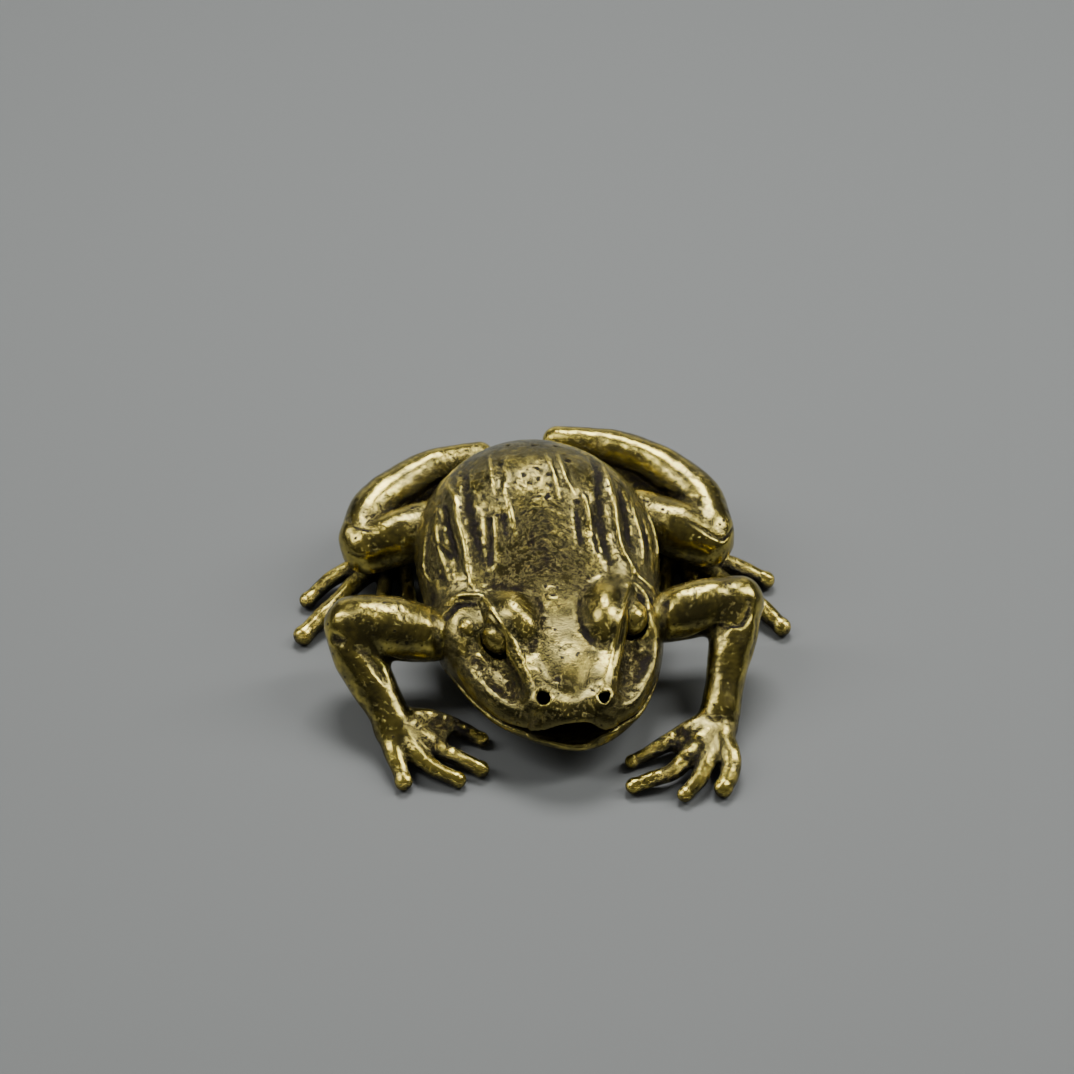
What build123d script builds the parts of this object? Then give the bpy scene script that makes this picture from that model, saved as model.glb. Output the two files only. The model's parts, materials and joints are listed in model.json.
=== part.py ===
from build123d import *

import os
from math import cos, pi, sin

# Cast brass frog ornament: eight brass castings that are brazed together.
# The frog stands on z = 0 and faces -Y, so its own left side is at +X. All sizes are in millimetres.
# The two body castings are hollow and meet at a seam. Each leg has a flat root with a cast-on peg that
# sits in a hole in the body, and each hind foot is pegged to the heel end of its folded hind leg.

os.makedirs("parts", exist_ok=True)

# ---------------------------------------------------------------- driving dimensions
WALL = 1.7  # wall of the hollow body castings
SEAM_Z = 4.2  # height of the seam between the back and belly castings, along the trunk
JAW_Z = 5.9  # height of the same seam along the jaw
JAW_END_Y = -9.3  # where the jaw seam steps down to the trunk seam
SEAM_STEP = 0.4  # length of that step
LIP_ABOVE, LIP_BELOW = 0.05, 0.15  # the closed mouth's narrow gap, above and below the jaw seam
MOUTH_GAPE = 1.5  # opening of the mouth at the front of the snout
MOUTH_FRONT_Y = -21.0  # just ahead of the snout
EYE_R = 2.6  # upper eyelid bulge
EYE_MIDDLE_X = 1.1  # midway between the two eyes
EYE_SPREAD = 5.2  # from there to each eye
EYE_Y, EYE_Z = -7.8, 11.0
JOINT_PEG_R = 1.3  # cast-on locating peg of each leg
JOINT_PEG_LENGTH = 2.2
BRAZE_GAP = 0.05  # radial gap round each peg, filled by the brazing metal
BOSS_LENGTH = 4.0  # solid boss inside the body wall behind each leg root
FACE_MARGIN = 0.6  # how far the flat round a leg root reaches past the boss
LEG_CLEARANCE = 0.12  # between the body's skin and the folded legs beside it
HEEL_PEG_R = 0.8
HEEL_PEG_LENGTH = 1.3
HEEL_PAD_R = 1.7  # flat pads that meet at the heel joint
HEEL_PAD_HEIGHT = 1.8
ROUNDING_ANGLES = (0.58, 1.15)  # where a limb's rounded end has its sections, in radians from its rim
DIGIT_ROOT_R = 1.2  # fingers and toes where they leave the palm or the instep
DIGIT_ROOT_Z = 2.0
DIGIT_ARCH = 0.3  # how far a finger's middle is raised above the straight line
TIP_R = 0.75  # finger and toe tips
TIP_Z = 0.64  # height of a tip's centre, so that each tip has a small flat on the ground
SECTION_POINTS = 14  # points round each body section
WIDEST = 0.4  # the widest level of a body section, as a share of its height
LEAST_HALF_WIDTH, LEAST_HEIGHT = 1.5, 1.0  # an inset section smaller than this is left out of the loft
BEYOND = 60  # further than any part of the frog

# Body stations from the snout to the rump: y, centre x, half width, top z, bottom z.
STATIONS = [
    (-20.6, 1.5, 2.4, 6.9, 4.6),
    (-20.0, 1.4, 4.0, 7.6, 4.1),
    (-18.8, 1.3, 6.0, 8.5, 3.6),
    (-16.8, 1.1, 8.0, 9.6, 3.1),
    (-14.0, 0.8, 9.9, 10.6, 2.8),
    (-11.0, 0.5, 11.3, 11.4, 2.5),
    (-8.0, 0.2, 12.2, 12.2, 2.3),
    (-4.0, 0.0, 12.6, 13.8, 2.0),
    (0.0, -0.1, 13.4, 15.9, 1.8),
    (4.0, -0.2, 14.1, 17.9, 1.6),
    (8.0, -0.3, 13.7, 18.9, 1.6),
    (12.0, -0.4, 12.4, 18.4, 1.8),
    (16.0, -0.5, 10.1, 16.3, 2.4),
    (19.2, -0.6, 7.4, 13.4, 3.3),
    (21.5, -0.6, 4.6, 10.6, 4.4),
    (22.7, -0.6, 2.2, 8.7, 5.6),
]

# Leg paths: (x, y, z, radius) from the joint with the body outwards.
LEFT_UPPER_ARM = [(11.5, -5.8, 7.8, 3.3), (17.0, -5.5, 8.5, 3.2), (21.2, -5.0, 8.7, 2.8)]
LEFT_FOREARM = [
    (21.0, -5.6, 8.6, 2.7),
    (19.9, -9.4, 6.4, 2.5),
    (19.0, -12.9, 4.2, 2.2),
    (18.0, -16.2, 2.5, 2.3),
    (17.1, -18.6, 1.9, 2.1),
]
LEFT_FINGERS = [
    [(16.6, -16.8), (13.6, -18.2), (7.7, -20.3)],
    [(16.6, -18.4), (12.8, -21.9), (7.5, -23.8)],
    [(16.8, -19.0), (15.4, -22.4), (12.9, -25.6)],
    [(17.8, -18.8), (18.3, -21.8), (17.0, -25.0)],
]
RIGHT_UPPER_ARM = [(-10.5, -6.4, 7.8, 3.4), (-15.9, -6.0, 8.7, 3.5), (-21.1, -5.2, 9.0, 3.0)]
RIGHT_FOREARM = [
    (-21.1, -6.1, 8.6, 2.8),
    (-20.0, -9.0, 6.4, 2.7),
    (-18.5, -12.0, 4.2, 2.4),
    (-17.2, -14.6, 2.5, 2.5),
    (-16.4, -16.4, 1.9, 2.2),
]
RIGHT_FINGERS = [
    [(-15.4, -13.4), (-12.2, -13.8), (-8.0, -15.7)],
    [(-15.3, -15.0), (-12.6, -17.8), (-8.3, -20.0)],
    [(-16.3, -16.0), (-14.4, -19.4), (-10.8, -21.3)],
    [(-17.5, -15.6), (-17.8, -18.0), (-16.7, -20.9)],
]
LEFT_THIGH = [(11.4, 12.4, 8.8, 3.3), (15.3, 9.9, 8.5, 3.5), (19.6, 7.1, 7.8, 3.1)]
LEFT_SHANK = [(19.8, 7.8, 8.3, 3.0), (17.5, 14.7, 9.1, 2.8), (11.4, 20.3, 9.7, 2.5), (4.8, 23.0, 9.7, 1.8)]
RIGHT_THIGH = [(-9.6, 12.2, 8.8, 3.3), (-14.5, 11.2, 8.5, 3.5), (-19.4, 9.5, 7.8, 3.1)]
RIGHT_SHANK = [(-19.9, 10.0, 8.2, 3.0), (-16.4, 15.8, 8.9, 2.8), (-11, 20, 9.3, 2.5), (-6.2, 21.9, 9.1, 1.9)]

# Hind feet: the instep from the heel to the ball of the foot, then five toes from the ball.
LEFT_INSTEP = [(8.8, 20.8, 5.2, 1.5), (12.6, 17.0, 2.0, 1.8), (16.0, 12.0, 1.6, 1.9), (18.2, 8.6, 1.7, 1.8)]
LEFT_TOES = [
    [(15.4, 12.5), (13.2, 10.2), (12.6, 8.4)],
    [(16.2, 10.5), (15.0, 6.6), (14.8, 3.4)],
    [(17.6, 9.0), (18.4, 3.6), (19.0, 0.0)],
    [(18.4, 9.0), (24.0, 2.2), (27.7, -1.8)],
    [(17.8, 10.0), (23.4, 7.8), (27.0, 6.1)],
]
RIGHT_INSTEP = [
    (-10.0, 20.0, 5.2, 1.5),
    (-12.6, 17.4, 2.0, 1.8),
    (-15.8, 14.0, 1.6, 1.9),
    (-18.2, 11.2, 1.7, 1.8),
]
RIGHT_TOES = [
    [(-15.0, 14.0), (-12.9, 12.0), (-12.4, 9.8)],
    [(-16.0, 12.6), (-15.2, 8.6), (-15.0, 5.4)],
    [(-17.4, 11.4), (-18.0, 6.0), (-18.6, 2.4)],
    [(-18.2, 11.4), (-23.2, 6.0), (-27.6, 1.6)],
    [(-18.0, 12.4), (-23.4, 10.2), (-26.8, 7.3)],
]

# Joint faces: the leg root's centre. The face looks out along X, or down at the heel.
LEFT_SHOULDER, RIGHT_SHOULDER = (13.2, -5.7, 8.0), (-12.6, -6.3, 8.1)
LEFT_HIP, RIGHT_HIP = (13.1, 11.0, 8.8), (-13.1, 11.0, 8.8)
LEFT_HEEL, RIGHT_HEEL = (8.8, 20.8, 6.4), (-10.0, 20.0, 6.4)
SHOULDER_BOSS_R, HIP_BOSS_R = 3.1, 2.5


# ---------------------------------------------------------------- shape helpers
def body_section(y, centre_x, half_width, top, bottom):
    """Closed egg-shaped wire of the body at one station."""
    middle = bottom + WIDEST * (top - bottom)
    points = []
    for i in range(SECTION_POINTS):
        angle = 2 * pi * i / SECTION_POINTS
        height = (top - middle) if sin(angle) > 0 else (middle - bottom)
        points.append((centre_x + half_width * cos(angle), y, middle + height * sin(angle)))
    return Wire([Edge.make_spline([Vector(*p) for p in points], periodic=True)])


def body_solid(inset):
    """The body's form, moved inwards by inset."""
    wires = []
    for y, centre_x, half_width, top, bottom in STATIONS:
        if half_width - inset < LEAST_HALF_WIDTH or top - bottom - 2 * inset < LEAST_HEIGHT:
            continue
        wires.append(body_section(y, centre_x, half_width - inset, top - inset, bottom + inset))
    return Solid.make_loft(wires)


def ring(centre, normal, radius):
    """Circle wire square to a direction. Every ring starts at its top, so that a loft doesn't twist."""
    level = Vector(0, 0, 1).cross(normal)
    return Wire([Edge.make_circle(radius, Plane(origin=centre, x_dir=normal.cross(level), z_dir=normal))])


def limb(path):
    """Smooth round bar through (x, y, z, radius) points, rounded over at both ends."""
    centres = [Vector(*point[:3]) for point in path]
    radii = [point[3] for point in path]
    start = (centres[1] - centres[0]).normalized()
    heading = (centres[-1] - centres[-2]).normalized()
    wires = []
    for angle in reversed(ROUNDING_ANGLES):
        wires.append(ring(centres[0] - start * radii[0] * sin(angle), start, radii[0] * cos(angle)))
    for i, (centre, radius) in enumerate(zip(centres, radii)):
        tangent = centres[min(i + 1, len(path) - 1)] - centres[max(i - 1, 0)]
        wires.append(ring(centre, tangent.normalized(), radius))
    for angle in ROUNDING_ANGLES:
        wires.append(ring(centres[-1] + heading * radii[-1] * sin(angle), heading, radii[-1] * cos(angle)))
    return Solid.make_loft(wires)


def ball(centre, radius):
    """Sphere about a point."""
    return Pos(*centre) * Sphere(radius)


def digit(points):
    """Finger or toe through (x, y) points, falling from the knuckle to the ground and tapering."""
    root, bend, tip = points
    return limb(
        [
            (*root, DIGIT_ROOT_Z, DIGIT_ROOT_R),
            (*bend, 0.5 * (DIGIT_ROOT_Z + TIP_Z) + DIGIT_ARCH, 0.5 * (DIGIT_ROOT_R + TIP_R)),
            (*tip, TIP_Z, TIP_R),
        ]
    )


def above(shape, z):
    """What lies above a level."""
    return shape & Pos(0, 0, z + BEYOND) * Box(2 * BEYOND, 2 * BEYOND, 2 * BEYOND)


def peg(centre, along, radius, length):
    """Cylinder from a joint face into the neighbouring casting."""
    end = Plane(origin=centre, z_dir=along)
    return end * Cylinder(radius, length, align=(Align.CENTER, Align.CENTER, Align.MIN))


def beyond(shape, centre, side):
    """What lies outside a joint face that looks along X, on the leg's side."""
    return shape & Pos(centre[0] + side * BEYOND, 0, 0) * Box(2 * BEYOND, 2 * BEYOND, 2 * BEYOND)


# ---------------------------------------------------------------- body castings
def seam_block():
    """Everything above the seam: along the jaw it lies higher than along the trunk."""
    profile = Polyline(
        (-BEYOND, JAW_Z),
        (JAW_END_Y, JAW_Z),
        (JAW_END_Y + SEAM_STEP, SEAM_Z),
        (BEYOND, SEAM_Z),
        (BEYOND, BEYOND),
        (-BEYOND, BEYOND),
        close=True,
    )
    return extrude(Plane.YZ * make_face(profile), BEYOND, both=True)


def mouth_wedge():
    """The open mouth: a wedge between the lips that closes towards the mouth's corners."""
    profile = Polyline(
        (-BEYOND, JAW_Z + LIP_ABOVE),
        (JAW_END_Y, JAW_Z + LIP_ABOVE),
        (JAW_END_Y, JAW_Z - LIP_BELOW),
        (MOUTH_FRONT_Y, JAW_Z - MOUTH_GAPE),
        (-BEYOND, JAW_Z - MOUTH_GAPE),
        close=True,
    )
    return extrude(Plane.YZ * make_face(profile), BEYOND, both=True)


def leg_face(centre, radius):
    """Clears the body wall outside a joint face, over the leg root's own area."""
    side = 1 if centre[0] > 0 else -1
    return peg(centre, (side, 0, 0), radius + FACE_MARGIN, BOSS_LENGTH)


def body_castings():
    """The back casting with the head and the leg bosses, and the belly casting with the lower jaw."""
    outer, inner = body_solid(0.0), body_solid(WALL)
    eyes = [ball((EYE_MIDDLE_X + side * EYE_SPREAD, EYE_Y, EYE_Z), EYE_R) - inner for side in (-1, 1)]
    shell = outer - inner
    block = seam_block()
    back = shell & block
    for eye in eyes:
        back = back + eye
    for centre, radius in (
        (LEFT_SHOULDER, SHOULDER_BOSS_R),
        (RIGHT_SHOULDER, SHOULDER_BOSS_R),
        (LEFT_HIP, HIP_BOSS_R),
        (RIGHT_HIP, HIP_BOSS_R),
    ):
        inwards = (-1 if centre[0] > 0 else 1, 0, 0)
        back = back + peg(centre, inwards, radius, BOSS_LENGTH)
        back = back - leg_face(centre, radius)
        back = back - peg(centre, inwards, JOINT_PEG_R + BRAZE_GAP, JOINT_PEG_LENGTH + BRAZE_GAP)
    belly = (shell - block) - mouth_wedge()
    return back, belly


# ---------------------------------------------------------------- legs and feet
def foreleg(upper_arm, forearm, fingers, shoulder, clearance_body):
    """Upper arm, forearm and a four-fingered hand in one casting, with a peg at the shoulder."""
    side = 1 if shoulder[0] > 0 else -1
    leg = beyond(limb(upper_arm), shoulder, side) - clearance_body
    leg = leg + limb(forearm)
    for points in fingers:
        leg = leg + digit(points)
    leg = above(leg, 0)
    return leg + peg(shoulder, (-side, 0, 0), JOINT_PEG_R, JOINT_PEG_LENGTH)


def hind_leg(thigh, shank, hip, heel, clearance_body):
    """Folded thigh and shank in one casting, with a peg at the hip and a socket under the heel."""
    side = 1 if hip[0] > 0 else -1
    leg = beyond(limb(thigh), hip, side) - clearance_body
    leg = leg + (limb(shank) - clearance_body)
    leg = leg + peg(heel, (0, 0, 1), HEEL_PAD_R, HEEL_PAD_HEIGHT)
    leg = leg - peg(heel, (0, 0, 1), HEEL_PEG_R + BRAZE_GAP, HEEL_PEG_LENGTH + BRAZE_GAP)
    return leg + peg(hip, (-side, 0, 0), JOINT_PEG_R, JOINT_PEG_LENGTH)


def hind_foot(instep, toes, heel, clearance_body):
    """Instep and five toes in one casting, with a peg up into the heel."""
    foot = limb(instep)
    for points in toes:
        foot = foot + digit(points)
    foot = above(foot, 0) - above(foot, heel[2]) - clearance_body
    foot = foot + peg(heel, (0, 0, -1), HEEL_PAD_R, HEEL_PAD_HEIGHT)
    return foot + peg(heel, (0, 0, 1), HEEL_PEG_R, HEEL_PEG_LENGTH)


# ---------------------------------------------------------------- the assembly
back_casting, belly_casting = body_castings()
roomy_body = body_solid(-LEG_CLEARANCE)
castings = {
    "back_casting": back_casting,
    "belly_casting": belly_casting,
    "left_foreleg": foreleg(LEFT_UPPER_ARM, LEFT_FOREARM, LEFT_FINGERS, LEFT_SHOULDER, roomy_body),
    "right_foreleg": foreleg(RIGHT_UPPER_ARM, RIGHT_FOREARM, RIGHT_FINGERS, RIGHT_SHOULDER, roomy_body),
    "left_hind_leg": hind_leg(LEFT_THIGH, LEFT_SHANK, LEFT_HIP, LEFT_HEEL, roomy_body),
    "right_hind_leg": hind_leg(RIGHT_THIGH, RIGHT_SHANK, RIGHT_HIP, RIGHT_HEEL, roomy_body),
    "left_hind_foot": hind_foot(LEFT_INSTEP, LEFT_TOES, LEFT_HEEL, roomy_body),
    "right_hind_foot": hind_foot(RIGHT_INSTEP, RIGHT_TOES, RIGHT_HEEL, roomy_body),
}
box = Compound(list(castings.values())).bounding_box()
centring = Pos(-box.center().X, -box.center().Y, -box.min.Z)
for name, shape in castings.items():
    export_step(centring * shape, f"parts/{name}.step")
print("moved by", centring.position, "to centre the box", box.size)
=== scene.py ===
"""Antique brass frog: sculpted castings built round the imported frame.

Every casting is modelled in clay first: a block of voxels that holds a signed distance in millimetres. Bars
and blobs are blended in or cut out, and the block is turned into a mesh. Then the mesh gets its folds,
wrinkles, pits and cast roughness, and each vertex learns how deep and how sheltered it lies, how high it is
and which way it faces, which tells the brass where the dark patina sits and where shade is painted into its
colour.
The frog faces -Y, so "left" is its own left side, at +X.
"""

import itertools
import json
import math

import bpy
import numpy as np
import openvdb
from mathutils import Matrix, Vector


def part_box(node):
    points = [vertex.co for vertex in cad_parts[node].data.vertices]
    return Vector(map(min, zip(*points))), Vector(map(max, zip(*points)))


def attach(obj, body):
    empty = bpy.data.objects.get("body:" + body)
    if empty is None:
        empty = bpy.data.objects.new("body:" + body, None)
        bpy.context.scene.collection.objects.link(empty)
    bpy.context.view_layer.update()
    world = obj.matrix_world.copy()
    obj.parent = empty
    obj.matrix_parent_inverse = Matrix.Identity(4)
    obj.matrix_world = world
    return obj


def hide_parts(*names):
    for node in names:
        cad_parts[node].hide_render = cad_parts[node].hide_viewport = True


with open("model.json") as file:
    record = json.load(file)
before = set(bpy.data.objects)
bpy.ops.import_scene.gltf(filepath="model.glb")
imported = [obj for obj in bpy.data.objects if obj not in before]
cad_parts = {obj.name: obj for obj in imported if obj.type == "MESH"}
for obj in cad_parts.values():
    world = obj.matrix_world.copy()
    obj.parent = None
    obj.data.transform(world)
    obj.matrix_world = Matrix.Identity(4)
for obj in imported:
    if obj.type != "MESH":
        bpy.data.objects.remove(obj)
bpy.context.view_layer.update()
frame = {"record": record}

MM = 0.001
VOXEL = 0.18
FAR = 3.0  # the distance held by voxels with no clay near them
SNOUT_Y, RUMP_Y = -20.6, 22.7  # ends of the body in the design's own numbers
BODY_LEFT_X, BODY_RIGHT_X = 13.9, -14.3


def design_shift():
    """From the design's numbers, used below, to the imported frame, whose box is centred, in millimetres."""
    low, high = (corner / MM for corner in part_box("back_casting"))
    across = 0.5 * (low.x + high.x) - 0.5 * (BODY_LEFT_X + BODY_RIGHT_X)
    along = 0.5 * (low.y + high.y) - 0.5 * (SNOUT_Y + RUMP_Y)
    return np.array([across, along, 0.0])


SHIFT = design_shift()


# ---- curves
def smooth_line(points, steps=8):
    """Catmull-Rom curve through the points, each a tuple of any length."""
    points = np.array(points, float)
    if len(points) == 2:
        return points[0] + np.linspace(0, 1, steps + 1)[:, None] * (points[1] - points[0])
    ends = np.vstack([2 * points[0] - points[1], points, 2 * points[-1] - points[-2]])
    line = []
    for i in range(len(points) - 1):
        before, start, end, after = ends[i:i + 4]
        for t in np.arange(steps) / steps:
            line.append(0.5 * (
                2 * start + (end - before) * t
                + (2 * before - 5 * start + 4 * end - after) * t**2
                + (3 * start - before - 3 * end + after) * t**3
            ))
    return np.array(line + [points[-1]])


def along(table, column, y):
    """A body measure at y, interpolated smoothly between the body stations."""
    line = smooth_line(table, 10)
    return np.interp(y, line[:, 0], line[:, column])


def rise(value, start, end):
    """0 up to start, 1 from end on, and straight between them. The start may be the higher of the two."""
    return np.clip((value - start) / (end - start), 0, 1)


def eased(t):
    """A rise from 0 to 1 with its two ends rounded off."""
    return t * t * (3 - 2 * t)


# ---- clay
def smooth_min(a, b, blend):
    """Union of two distances with a fillet of about the blend size."""
    if blend <= 0:
        return np.minimum(a, b)
    h = np.clip(0.5 + 0.5 * (b - a) / blend, 0, 1)
    return b + (a - b) * h - blend * h * (1 - h)


def smooth_max(a, b, blend):
    """Intersection of two distances with an edge rounded to about the blend size."""
    return -smooth_min(-a, -b, blend)


def bar(start, end):
    """Tapered round bar between two (x, y, z, radius) points: its box and its distance."""
    start, end = np.array(start, float), np.array(end, float)
    axis = end[:3] - start[:3]
    length2 = max(float(axis @ axis), 1e-9)
    low = np.minimum(start[:3] - start[3], end[:3] - end[3])
    high = np.maximum(start[:3] + start[3], end[:3] + end[3])

    def distance(x, y, z):
        dx, dy, dz = x - start[0], y - start[1], z - start[2]
        t = np.clip((dx * axis[0] + dy * axis[1] + dz * axis[2]) / length2, 0, 1)
        radius = start[3] + t * (end[3] - start[3])
        return np.sqrt((dx - t * axis[0])**2 + (dy - t * axis[1])**2 + (dz - t * axis[2])**2) - radius

    return low, high, distance


def blob(centre, radii, turn=0.0, tip=0.0):
    """Ellipsoid turned about Z by turn and tipped nose-down by tip, in degrees: its box and its distance."""
    spin = Matrix.Rotation(math.radians(turn), 3, "Z") @ Matrix.Rotation(math.radians(tip), 3, "X")
    rows = np.array(spin.transposed())
    reach = max(radii)
    low, high = np.array(centre) - reach, np.array(centre) + reach

    def distance(x, y, z):
        dx, dy, dz = x - centre[0], y - centre[1], z - centre[2]
        local = [row[0] * dx + row[1] * dy + row[2] * dz for row in rows]
        near = np.sqrt(sum((value / radius)**2 for value, radius in zip(local, radii))) + 1e-6
        slope = np.sqrt(sum((value / radius**2)**2 for value, radius in zip(local, radii))) + 1e-6
        return near * (near - 1) / slope

    return low, high, distance


class Clay:
    """A block of voxels holding a signed distance in millimetres, negative inside the casting."""

    def __init__(self, low, high, voxel=VOXEL):
        self.low, self.voxel = np.array(low, float), voxel
        self.axes = [np.arange(a, b, voxel, dtype=np.float32) for a, b in zip(low, high)]
        self.field = np.full([len(axis) for axis in self.axes], FAR, np.float32)

    def window(self, low, high, room):
        """The part of the block near a box, and the coordinates of its voxels."""
        part, coordinates = [], []
        for i, axis in enumerate(self.axes):
            first = int(np.searchsorted(axis, low[i] - room))
            last = int(np.searchsorted(axis, high[i] + room))
            part.append(slice(first, last))
            shape = [1, 1, 1]
            shape[i] = -1
            coordinates.append(axis[first:last].reshape(shape))
        return tuple(part), coordinates

    def whole(self):
        """The coordinates of every voxel, as three arrays that broadcast together."""
        return self.window([axis[0] for axis in self.axes], [axis[-1] for axis in self.axes], 1.0)[1]

    def add(self, shape, blend):
        """Blends in a bar or a blob."""
        low, high, distance = shape
        part, (x, y, z) = self.window(low, high, blend + 1.0)
        self.field[part] = smooth_min(self.field[part], distance(x, y, z), blend)

    def cut(self, shape, blend):
        """Cuts a bar or a blob out."""
        low, high, distance = shape
        part, (x, y, z) = self.window(low, high, blend + 1.0)
        self.field[part] = smooth_max(self.field[part], -distance(x, y, z), blend)

    def add_limb(self, path, blend):
        """A limb of bars along a smooth path, blended with what is there already."""
        line = smooth_line(path, 6)
        low = (line[:, :3] - line[:, 3:]).min(0)
        high = (line[:, :3] + line[:, 3:]).max(0)
        part, (x, y, z) = self.window(low, high, blend + 1.0)
        limb = np.full(self.field[part].shape, FAR, np.float32)
        for start, end in zip(line, line[1:]):
            limb = np.minimum(limb, bar(start, end)[2](x, y, z))
        self.field[part] = smooth_min(self.field[part], limb, blend)

    def keep_above_floor(self):
        """Cuts away what would lie under the floor."""
        self.field = smooth_max(self.field, -self.whole()[2], 0.05)

    def mesh(self):
        """Vertices in millimetres and quads, from the clay's surface."""
        grid = openvdb.FloatGrid(FAR)
        grid.copyFromArray(np.ascontiguousarray(self.field))
        points, quads = grid.convertToQuads(isovalue=0.0)
        points = points.astype(float) * self.voxel + self.low
        quads = quads.astype(np.int64)
        if volume(points, quads) < 0:
            quads = quads[:, ::-1]
        return points, quads


def volume(points, quads):
    """Signed volume of a closed quad mesh."""
    a, b, c, d = (points[quads[:, i]] for i in range(4))
    return float((a * (np.cross(b, c) + np.cross(c, d))).sum() / 6)


# ---- the body
# Body stations from the snout to the rump: y, centre x, half width, top z, bottom z.
BODY = [
    (-19.6, 1.5, 5.0, 8.4, 3.8),
    (-18.4, 1.4, 7.0, 9.0, 3.5),
    (-16.8, 1.2, 8.5, 9.7, 3.1),
    (-14.0, 0.9, 10.2, 10.6, 2.8),
    (-11.0, 0.6, 11.5, 11.4, 2.5),
    (-8.0, 0.3, 12.4, 12.1, 2.3),
    (-4.0, 0.0, 12.8, 13.4, 2.0),
    (0.0, -0.1, 13.3, 15.7, 1.8),
    (4.0, -0.2, 13.9, 17.8, 1.6),
    (8.0, -0.3, 13.6, 18.8, 1.6),
    (12.0, -0.4, 12.3, 18.3, 1.8),
    (16.0, -0.5, 10.0, 16.2, 2.4),
    (19.2, -0.6, 7.4, 13.4, 3.3),
    (21.0, -0.6, 5.5, 11.4, 4.1),
    (22.8, -0.6, 3.4, 9.4, 5.0),
]
SNOUT_START, RUMP_START = -19.6, 20.2  # where the body's ends begin to round over
SNOUT_CAP, RUMP_CAP = 1.15, 2.5  # how far the rounded ends reach from there
WIDEST = 0.4  # the widest level of a section, as a share of its height
JAW_Z, SEAM_Z = 5.95, 4.2  # the seam between the two body castings, along the jaw and along the trunk
JAW_END_Y = -9.1
MOUTH_X = 1.6  # the mouth is open widest a little to the left of its middle
SEAM_GAP, LIP_GAP = 0.02, 0.26  # from the seam's level to each casting's edge, on the trunk and at the lips
GAPE_UP, GAPE_DOWN = 1.6, 0.9  # and how much more where the mouth is open widest


def body_measures(y):
    """Centre x, half width, widest level, height above it and height below it, at y."""
    centre, half, top, bottom = (along(BODY, column, y) for column in range(1, 5))
    middle = bottom + WIDEST * (top - bottom)
    return centre, half, middle, top - middle, middle - bottom


def squareness(y):
    """The body is round in section, and squarer across the shoulders and the cheeks."""
    return 2.0 + 0.3 * rise(y, -6, -14) + 1.1 * np.exp(-((y + 6.0) / 4.5)**2)


def on_back(x, y, lift=0.0):
    """The point of the body's upper side over (x, y), lifted by lift."""
    centre, half, middle, up, _ = body_measures(y)
    power = float(squareness(y))
    rest = max(0.0, 1 - (abs(x - centre) / half)**power)
    return x, y, float(middle + up * rest**(1 / power) + lift)


def body_field(clay):
    """Distance to the body's plain form, over the whole block."""
    x, y, z = clay.whole()
    centre, half, middle, up, down = body_measures(y.ravel())
    shape = y.shape
    centre, half, middle, up, down = (v.reshape(shape) for v in (centre, half, middle, up, down))
    square = squareness(y)
    wide = np.abs(x - centre) / half
    tall = np.where(z > middle, (z - middle) / up, (middle - z) / down)
    cap = np.maximum(SNOUT_START - y, 0) / SNOUT_CAP + np.maximum(y - RUMP_START, 0) / RUMP_CAP
    near = (wide**square + tall**square) ** (1 / square)
    near = np.sqrt(near**2 + cap**2).astype(np.float32)
    slopes = np.gradient(near, clay.voxel)
    steepness = np.sqrt(sum(slope**2 for slope in slopes))
    return (near - 1) / np.maximum(steepness, 0.02)


def seam_height(x, y, side):
    """Level of the seam: side is 1 for the upper casting's edge and -1 for the lower casting's."""
    jaw = eased(rise(y, JAW_END_Y, JAW_END_Y - 0.8))
    opening = rise(y, JAW_END_Y - 0.5, JAW_END_Y - 7.5)
    off = x - MOUTH_X
    wide_open = np.exp(-np.where(off < 0, (off / 3.4)**2, (off / 2.5)**4)) * rise(y, -14, -17)
    gape = SEAM_GAP + opening * (LIP_GAP + (GAPE_UP if side > 0 else GAPE_DOWN) * wide_open)
    return SEAM_Z + (JAW_Z - SEAM_Z) * jaw + side * gape


EYES = {  # the eyelid's centre and radii, the eyeball's centre, and how far both are turned about Z
    "right": ((-3.9, -7.7, 11.0), (2.5, 3.9, 2.7), (-5.8, -9.3, 10.1), 24),
    "left": ((6.1, -7.6, 10.9), (2.4, 4.3, 2.8), (9.2, -7.8, 10.3), -5),
}
BALL_RADII = (1.6, 2.15, 1.8)
SOCKET_RADII = (1.75, 2.3, 1.95)
# Place of each nostril, the way its hole runs in, and the hole's radius.
NOSTRILS = {
    "right": ((-1.3, -17.4, 8.8), (0.5, 1.6, -1.3), 0.70),
    "left": ((4.2, -17.7, 8.6), (-1.3, 1.3, -0.9), 0.62),
}
# The brow from behind each eyelid, over the eye and on along the snout to the nostril: x, y, lift, radius.
BROWS = {
    "right": [(-6.8, -6.2, -0.1, 0.4), (-5.9, -8.6, 0.1, 0.5), (-4.6, -11.2, -0.3, 0.65),
              (-3.1, -13.6, -1.1, 1.25), (-2.0, -15.8, -1.3, 1.55), (-1.2, -17.8, -1.1, 1.4)],
    "left": [(8.8, -5.0, -0.2, 0.4), (8.2, -8.2, 0.1, 0.5), (7.3, -11.2, -0.3, 0.65),
             (6.1, -13.6, -1.1, 1.25), (5.1, -15.8, -1.3, 1.55), (4.3, -17.8, -1.1, 1.4)],
}
# The blunt front edge of the snout's flat top, from nostril to nostril: x, y, lift, radius.
MUZZLE = [(-1.8, -17.6, -1.1, 1.4), (0.0, -18.5, -0.95, 1.4), (1.5, -18.8, -0.9, 1.4),
          (3.0, -18.5, -0.95, 1.4), (4.8, -17.6, -1.1, 1.4)]
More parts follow.
